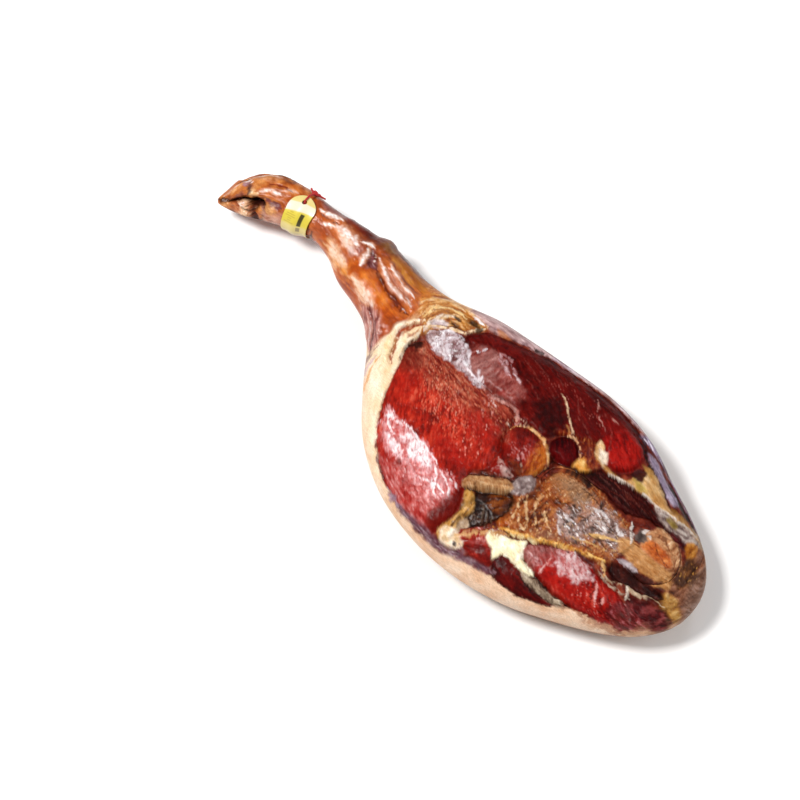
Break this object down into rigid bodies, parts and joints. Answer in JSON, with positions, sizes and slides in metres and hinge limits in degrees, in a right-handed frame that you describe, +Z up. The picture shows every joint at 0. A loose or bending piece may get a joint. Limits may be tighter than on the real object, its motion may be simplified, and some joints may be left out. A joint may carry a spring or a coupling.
{
  "type": "whole cured ham",
  "caption": "Whole dry-cured ham on the bone, leaf-shaped with its trotter, lying on its rind with the cut face up, a card tag tied round the ankle.",
  "frame": {"origin": "middle of the ham's outline seen from above, on the surface that it lies on", "axes": "+X along the ham from the trotter to the butt end, +Z up out of the cut face, +Y to the side that the trotter bends towards"},
  "size_m": [0.6622, 0.2474, 0.0854],
  "materials": {
    "cured_meat": "dark red dried meat with cream fat and a brown rind, oiled and glossy",
    "bone": "tan, dry and fibrous, half matt",
    "card": "yellow printed card with a smooth coating",
    "string": "red twisted cotton"
  },
  "bodies": {
    "root": {"ham": "cured_meat", "hip_bone": "bone", "tag": "card", "string": "string"}
  },
  "joints": []
}
